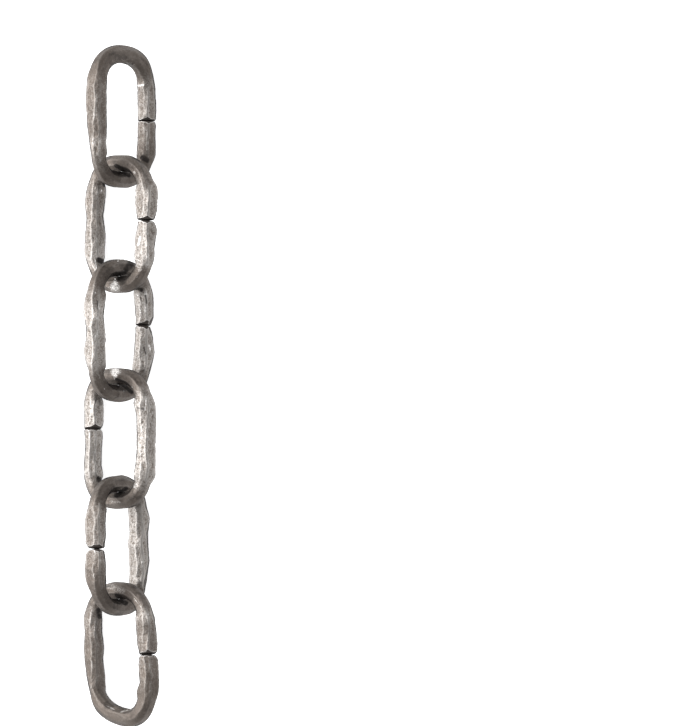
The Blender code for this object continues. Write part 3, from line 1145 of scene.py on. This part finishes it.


# The chain

# From the +Y end. Each plan starts with the length, width, lean, high side, and the gap's strand,
# shift and width. A knot is a y of the chain and a value there. Bright strokes are rubbed patches
# and painted highlights, and the dark ones are painted shadows.
LINKS = (
    LinkPlan(
        63.4, 31.8, 45.5, Side.LEFT, Strand.LOW, -1.7, 0.6,
        high=StrandShape(
            left=((142, 5.3), (136, 4.7), (128, 5.1), (118, 4.5), (112, 3.7), (104, 2.7)),
            right=((142, 4.4), (136, 4.5), (128, 4.5), (118, 4.7), (110, 4.6), (102, 4.8)),
            worn=((142, 0.15), (133, 0.35), (120, 0.35), (115, 0.25), (110, 0.5), (103, 0.45)),
        ),
        low=StrandShape(
            left=((142, 4.4), (134, 4.2), (126, 4), (119, 3.9), (113, 3.9), (102, 4.2)),
            right=((142, 3.3), (132, 4.1), (124, 4.5), (119, 4.3), (112, 4.2), (102, 4.8)),
            worn=((142, 0.2), (136, 0.5), (130, 0.5), (122, 0.6), (112, 0.35), (106, 0.25)),
            lean=((140, 10), (130, 18), (110, 15)),
        ),
        top_skew=-0.5,
        top_free=True,
        rubs_and_highlights=strokes(
            (-10.5, 130.6, -10.9, 121.5, 0.6, 0.6), (-11.2, 109.8, -9.8, 102.8, 0.8, 0.5),
            (7.8, 134.9, 10.6, 135.3, 0.5), (12.4, 136.4, 13.0, 120.5, 0.7, 0.65),
            (11.8, 117.0, 12.4, 106.0, 0.6, 0.6), (1.5, 146.2, 6.5, 144.0, 0.7, 0.45),
        ),
        soot=strokes((10.3, 102.5, 12.0, 101.5, 1.3, 0.8), (-2.0, 97.8, 3.8, 94.6, 1.1, 0.85)),
    ),
    LinkPlan(
        62.0, 32.4, 44.9, Side.RIGHT, Strand.HIGH, 1.6, 1.0,
        high=StrandShape(
            left=((92, 4.6), (84, 5.5), (78, 4.3), (73, 3.6), (66, 4.9), (55, 4.8)),
            right=((92, 5.9), (84, 5.3), (79, 5), (75, 3.9), (70, 5.2), (62, 4.3), (55, 4.6)),
            worn=(
                (98, 0.5), (92, 0.65), (84, 0.6), (75, 0.65), (66, 0.65), (55, 0.9), (53, 0.2),
                (50, 0),
            ),
            lean=((94, 10), (80, 16), (70, 20), (56, 16)),
            right_up=4.1,
        ),
        low=StrandShape(
            left=((92, 3.7), (82, 4.7), (75, 3.8), (67, 4.4), (59, 4.5), (52, 3)),
            right=((92, 4.8), (84, 4.8), (76, 3.8), (71, 4.6), (67, 5.1), (62, 4.8), (54, 4.8)),
            worn=((93, 0.6), (85, 0.5), (75, 0.55), (66, 0.6), (59, 0.85), (54, 0.9)),
            lean=((92, 8), (70, 4), (56, 10)),
        ),
        rubs_and_highlights=strokes(
            (-8.3, 87.9, -8.3, 87.4, 0.5), (-10.1, 86.4, -10.3, 84.0, 0.4, 0.8),
            (-9.1, 94.5, -9.4, 92.5, 0.6, 0.7), (-11.3, 56.8, -10.6, 53.0, 0.35),
            (-10.9, 52.6, -11.3, 51.6, 0.35, 0.85), (6.4, 96.1, 6.8, 95.5, 0.5, 0.8),
            (12.1, 87.5, 12.3, 86.8, 0.5, 0.8), (12.1, 81.8, 12.5, 78.4, 0.5, 0.8),
            (9.0, 66.7, 8.3, 63.2, 0.7), (7.0, 57.0, 7.3, 53.6, 0.35, 0.85),
            (8.5, 57.0, 9.0, 52.5, 1.5, 0.6), (7.7, 48.8, 7.9, 49.0, 0.25),
            (-2.2, 48.0, -2.3, 44.6, 0.35, 0.95, 2.9),
        ),
        soot=strokes(
            (-1.8, 99.0, 4.6, 95.6, 0.9), (-0.6, 48.2, 3.6, 50.4, 0.9, 0.95),
            (0.8, 46.2, 3.2, 48.6, 1.2, 0.5), (-7.8, 93.0, -6.8, 90.5, 1.2, 0.95),
            (-9.6, 56.5, -7.2, 55.4, 1.3, 0.95),
        ),
    ),
    LinkPlan(
        63.8, 31.6, 45.7, Side.LEFT, Strand.LOW, 2.3, 0.8,
        high=StrandShape(
            left=((42, 3.8), (34, 5.5), (30, 4.4), (24, 3.6), (21, 3.8), (15, 4.9), (7, 2.8)),
            right=((42, 5.3), (31, 4.3), (26, 4.7), (22, 6.2), (19, 5.2), (9, 5.5)),
            worn=((46, 0.25), (40, 0.5), (35, 0.9), (20, 0.85), (12, 0.9), (7, 0.6), (3, 0.3)),
            lean=((40, 2), (28, 6), (12, 5)),
            left_up=3.45,
            right_up=4.0,
        ),
        low=StrandShape(
            left=((42, 4.6), (30, 3.5), (26, 3.6), (20, 3.8), (12, 4.5), (7, 5)),
            right=((42, 4.5), (31, 4.6), (27, 3.1), (22, 4.5), (15, 5.2), (7, 3.7)),
            worn=((46, 0.7), (40, 1), (30, 1), (25, 0.9), (15, 0.9), (8, 0.8), (2, 0.5)),
            lean=((42, 16), (30, 14), (22, 18), (10, 16)),
            right_up=4.2,
        ),
        rubs_and_highlights=strokes(
            (-11.1, 41.9, -11.0, 41.6, 0.4), (-11.1, 22.7, -11.2, 20.9, 0.3),
            (-9.6, 5.2, -9.0, 3.4, 0.3, 0.8), (7.8, 41.0, 8.0, 40.6, 0.45),
            (8.6, 38.6, 8.2, 37.0, 1.1, 0.7), (13.2, 18.1, 13.6, 16.0, 0.55),
            (9.6, 18.2, 10.1, 12.2, 0.4, 0.8), (-0.9, 56.0, -0.8, 56.1, 0.35),
            (1.7, 51.7, 1.8, 51.6, 0.3), (-7.1, -1.4, -6.9, -1.6, 0.3), (1.5, -2.4, 1.7, -2.5, 0.3),
        ),
        soot=strokes(
            (-4.6, 46.8, -2.6, 49.4, 0.6, 0.95), (-2.6, 49.4, 2.2, 50.8, 0.9, 0.95),
            (2.4, 51.6, 5.2, 55.2, 1.2, 0.8, 2.0), (-2.2, 2.4, 1.4, 0.2, 0.8, 0.95),
            (1.4, 0.2, 5.2, -3.0, 0.9, 0.95), (-0.6, -0.6, 2.8, -2.4, 1.0, 0.5),
            (7.2, 43.7, 9.6, 43.0, 0.7, 0.95, 0.9), (11.4, 40.5, 12.0, 37.0, 0.4, 0.7),
            (-10.2, 38.0, -10.3, 33.0, 0.3, 0.7), (10.7, 17.0, 11.6, 14.2, 0.35, 0.7),
        ),
    ),
    LinkPlan(
        63.0, 32.4, 44.6, Side.RIGHT, Strand.LOW, 4.2, 0.5, squareness=2.7,
        high=StrandShape(
            left=((-7, 4.8), (-14, 3.4), (-22, 3.2), (-29, 3.2), (-34, 3.6), (-42, 4.8)),
            right=(
                (-7, 5.3), (-15, 5.8), (-23, 5.9), (-27, 5.5), (-38, 5.6), (-44, 6.4), (-47, 4.6),
            ),
            worn=((0, 0.3), (-3, 0.8), (-9, 0.9), (-15, 1), (-40, 0.9), (-45, 0.85), (-50, 0.3)),
            lean=((-2, 8), (-8, 12), (-14, 18), (-34, 18), (-42, 14)),
            right_up=4.35,
        ),
        low=StrandShape(
            left=((-7, 4.1), (-14, 3.8), (-21, 3.7), (-28, 3.3), (-35, 3.8), (-44, 4)),
            right=(
                (-7, 5.3), (-15, 5.6), (-19, 4.4), (-22, 4.7), (-27, 4.4), (-36, 4.2), (-43, 5.5),
            ),
            worn=((0, 0.8), (-8, 0.9), (-20, 0.85), (-30, 0.9), (-40, 0.85), (-48, 0.8)),
            lean=((-6, 14), (-18, 12), (-22, 6), (-40, 5)),
        ),
        rubs_and_highlights=strokes(
            (-2.1, 6.0, -2.4, 3.0, 2.7, 0.95, 0.35), (5.2, -0.8, 5.4, -0.9, 0.35),
            (5.6, -3.3, 7.0, -7.4, 0.4), (9.2, -3.2, 9.1, -8.0, 1.7, 0.55),
            (11.9, -5.7, 11.2, -11.4, 0.3), (13.5, -12.8, 13.5, -12.9, 0.3),
            (14.5, -12.4, 14.5, -12.5, 0.3), (12.4, -24.7, 11.5, -29.7, 0.35, 0.8),
            (-11.4, -1.9, -12.3, -5.7, 0.3, 0.8), (-11.7, -8.3, -12.4, -10.8, 0.3, 0.8),
            (7.3, -43.6, 6.9, -45.2, 1.4, 0.75), (-4.0, -52.4, -0.2, -52.6, 0.7, 0.65),
        ),
        soot=strokes(
            (-1.9, 3.0, 2.2, 1.6, 0.5, 0.95), (2.2, 1.6, 5.0, -1.2, 0.5, 1.0),
            (3.4, -46.6, -1.8, -49.6, 1.0, 0.85), (-10.0, -2.8, -8.2, -5.0, 0.9, 0.95),
            (-8.8, -5.8, -8.6, -8.0, 1.2, 0.5), (-9.6, -41.8, -8.8, -43.5, 1.1, 0.8),
            (8.0, -10.0, 10.6, -10.6, 0.5, 0.5),
        ),
    ),
    LinkPlan(
        62.9, 30.0, 49.8, Side.LEFT, Strand.HIGH, -1.5, 1.4,
        high=StrandShape(
            left=((-55, 4), (-62, 5.6), (-68, 5.9), (-73, 4), (-76, 6.1), (-83, 5.8), (-90, 4.6)),
            right=(
                (-55, 4.8), (-62, 4.2), (-68, 4.3), (-73, 3.5), (-76, 3.8), (-81, 4.3), (-90, 4.2),
            ),
            worn=((-48, 0.25), (-55, 0.4), (-64, 0.55), (-75, 0.45), (-82, 0.3), (-88, 0.15)),
            lean=((-55, 6), (-90, 6)),
        ),
        low=StrandShape(
            left=((-55, 5.2), (-62, 4.7), (-67, 4.6), (-72, 5.7), (-82, 4.7), (-90, 5)),
            right=((-55, 3.6), (-60, 4.8), (-66, 3.9), (-72, 3.9), (-79, 4.4), (-90, 2.8)),
            worn=((-50, 0.6), (-55, 0.8), (-65, 0.85), (-78, 0.85), (-88, 0.8), (-93, 0.5)),
            lean=((-52, 14), (-88, 16)),
            right_up=4.05,
        ),
        rubs_and_highlights=strokes(
            (-11.2, -65.0, -11.0, -69.5, 1.2, 0.5), (-10.4, -73.8, -9.8, -78.0, 0.5, 0.6),
            (8.2, -67.5, 8.3, -73.0, 0.8, 0.7), (6.5, -85.5, 6.4, -88.0, 1.0, 0.75),
        ),
        soot=strokes(
            (2.8, -46.4, -2.6, -49.4, 0.9), (-2.6, -95.2, 2.6, -98.0, 1.1, 0.85),
            (7.6, -49.6, 9.2, -50.6, 1.0, 0.8),
        ),
    ),
    LinkPlan(
        63.7, 33.0, 43.5, Side.RIGHT, Strand.HIGH, -1.1, 0.9,
        high=StrandShape(
            left=(
                (-102, 4.8), (-110, 4.5), (-117, 4.3), (-121, 3.4), (-126, 4.1), (-134, 3.7),
                (-141, 5.9),
            ),
            right=(
                (-102, 3.9), (-110, 4.5), (-117, 5.2), (-121, 4.7), (-127, 5.2), (-136, 5.1),
                (-142, 5.1),
            ),
            worn=((-98, 0.4), (-104, 0.6), (-108, 0.4), (-118, 0.4), (-132, 0.3), (-140, 0.15)),
            lean=((-100, 14), (-136, 10)),
        ),
        low=StrandShape(
            left=((-102, 4.6), (-110, 3.8), (-118, 4.4), (-125, 4.2), (-131, 3.5), (-138, 2.5)),
            right=((-102, 4.4), (-110, 4.2), (-118, 4.8), (-123, 4.1), (-130, 4.9), (-138, 5)),
            worn=((-97, 0.6), (-104, 0.5), (-112, 0.3), (-125, 0.22), (-138, 0.2)),
            lean=((-100, 10), (-136, 6)),
        ),
        bottom_skew=2.0,
        bottom_free=True,
        rubs_and_highlights=strokes(
            (-4.8, -90.2, 1.2, -92.4, 1.5, 0.65), (6.4, -96.0, 9.8, -100.2, 0.3, 0.8),
            (11.8, -104.6, 13.0, -107.4, 0.35, 0.8), (-11.6, -109.7, -11.0, -112.5, 0.5, 0.7),
            (-5.5, -135.9, -5.2, -136.2, 0.35), (-6.2, -144.1, -2.6, -145.9, 0.35, 0.8),
            (0.3, -147.0, 5.8, -145.6, 0.4, 0.8), (-13.0, -99.5, -12.6, -103.0, 0.8, 0.5),
        ),
        soot=strokes((-1.6, -94.4, 4.0, -97.6, 0.9), (-9.6, -101.0, -9.0, -104.0, 1.2, 0.8)),
    ),
)


@dataclass
class Chain:
    """The whole length of chain.

    Attributes:
        links: Sizes of its links, from the +Y end.
        hook_play: Between the bends of two hooked links, in mm.
        crossing_x: Sideways place of the +Y end, the five crossings and the -Y end, in mm.
        bar: The links' bar.
    """

    links: tuple[LinkPlan, ...] = LINKS
    hook_play: float = 0.8
    crossing_x: tuple[float, ...] = (0.9, 0.5, -0.3, -0.8, -1.0, -0.6, 0.9)
    bar: BarSize = field(default_factory=BarSize)

    def places(self) -> list[tuple[Vector, float]]:
        """Where each link lies, as its middle in m and its yaw in radians."""
        overlap = 4 * self.bar.crown_radius + self.hook_play
        top = (sum(link.length for link in self.links) - (len(self.links) - 1) * overlap) / 2
        found = []
        for index, link in enumerate(self.links):
            bottom = top - link.length
            x_top, x_bottom = self.crossing_x[index], self.crossing_x[index + 1]
            height = link.width / 2 * math.sin(math.radians(link.lean)) + self.bar.corner
            centre = Vector(((x_top + x_bottom) / 2, (top + bottom) / 2, height)) * MM
            found.append((centre, math.atan2(x_bottom - x_top, top - bottom - overlap)))
            top = bottom + overlap
        return found

    def build(self, finish: bpy.types.Material) -> None:
        """Makes and dresses every link.

        Args:
            finish: The iron's material.
        """
        for index, (plan, (centre, yaw)) in enumerate(zip(self.links, self.places())):
            link = HammeredLink(f"link_{index + 1}", plan, centre, yaw, seed=index + 11)
            thing = link.build()
            link.dress(thing, finish)
            LOG.info("%s: %d faces", thing.name, len(thing.data.polygons))


# The studio


@dataclass(frozen=True)
class Studio:
    """A pale floor, plain soft light and the camera that looks straight down.

    Attributes:
        image_width: Width of the picture, in pixels.
        image_height: Its height.
        scale: Millimetres in a pixel.
        chain_column: Pixel column of the chain's middle.
        chain_row: Pixel row of it.
        camera_height: From the floor to the camera, in m.
        camera_reach: How far the camera sees, in m.
        floor_size: Side of the floor, in m.
        floor_colour: Colour of the floor.
        floor_roughness: Its roughness.
        floor_glow: Light that it gives off, as from a light table.
        sky: Brightness of the surroundings.
        key_power: Power of the lamp at the left, in W.
        key_distance: From the chain to that lamp, in m.
        key_elevation: Its angle above the floor, in degrees.
        key_turn: How far it is turned towards +Y, in degrees.
        key_size: Its width and height, in m.
    """

    image_width: int = 700
    image_height: int = 726
    scale: float = 0.4502
    chain_column: float = 120.0
    chain_row: float = 385.5
    camera_height: float = 1.2
    camera_reach: float = 100.0
    floor_size: float = 24.0
    floor_colour: Colour = (0.93, 0.93, 0.93, 1.0)
    floor_roughness: float = 0.9
    floor_glow: float = 0.74
    sky: float = 0.7
    key_power: float = 45.0
    key_distance: float = 1.6
    key_elevation: float = 30.0
    key_turn: float = 12.0
    key_size: tuple[float, float] = (1.6, 1.3)

    def floor(self) -> None:
        """Lays the floor."""
        half = self.floor_size / 2
        mesh = bpy.data.meshes.new("floor")
        corners = [(-half, -half, 0.0), (half, -half, 0.0), (half, half, 0.0), (-half, half, 0.0)]
        mesh.from_pydata(corners, [], [(0, 1, 2, 3)])
        graph = Graph("pale_floor")
        inputs = graph.shader.inputs
        graph.feed(inputs["Base Color"], self.floor_colour)
        graph.feed(inputs["Roughness"], self.floor_roughness)
        graph.feed(inputs["Emission Color"], WHITE)
        graph.feed(inputs["Emission Strength"], self.floor_glow)
        mesh.materials.append(graph.material)
        new_object("floor", mesh)

    def light(self) -> None:
        """Sets the even surroundings, which the camera sees as white, and the lamp."""
        world = bpy.data.worlds.new("studio")
        bpy.context.scene.world = world
        world.use_nodes = True
        tree = world.node_tree
        background = tree.nodes["Background"]
        background.inputs["Color"].default_value = WHITE
        seen = tree.nodes.new("ShaderNodeLightPath")
        strength = tree.nodes.new("ShaderNodeMapRange")
        strength.inputs["To Min"].default_value = self.sky
        strength.inputs["To Max"].default_value = 1.0
        tree.links.new(seen.outputs["Is Camera Ray"], strength.inputs["Value"])
        tree.links.new(strength.outputs["Result"], background.inputs["Strength"])

        lamp = bpy.data.lights.new("key", "AREA")
        lamp.shape = "RECTANGLE"
        lamp.size, lamp.size_y = self.key_size
        lamp.energy = self.key_power
        thing = new_object("key", lamp)
        elevation = math.radians(self.key_elevation)
        turn = math.radians(self.key_turn)
        way = Vector((
            -math.cos(elevation) * math.cos(turn),
            math.cos(elevation) * math.sin(turn),
            math.sin(elevation),
        ))
        thing.location = way * self.key_distance
        thing.rotation_euler = (-way).to_track_quat("-Z", "Y").to_euler()

    def camera(self) -> None:
        """Sets the camera over the picture's middle, with no perspective."""
        lens = bpy.data.cameras.new("camera")
        lens.type = "ORTHO"
        lens.ortho_scale = self.image_height * self.scale * MM
        lens.clip_end = self.camera_reach
        thing = new_object("camera", lens)
        x = (self.image_width / 2 - self.chain_column) * self.scale * MM
        y = (self.chain_row - self.image_height / 2) * self.scale * MM
        thing.location = (x, y, self.camera_height)
        bpy.context.scene.camera = thing
        bpy.context.scene.view_settings.view_transform = "Standard"


def main() -> None:
    """Builds the chain and the studio, and reports each piece."""
    logging.basicConfig(level=logging.INFO, format="%(message)s")
    Chain().build(HammeredIron().build())
    studio = Studio()
    studio.floor()
    studio.light()
    studio.camera()
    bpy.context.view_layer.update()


if __name__ == "__main__":
    main()
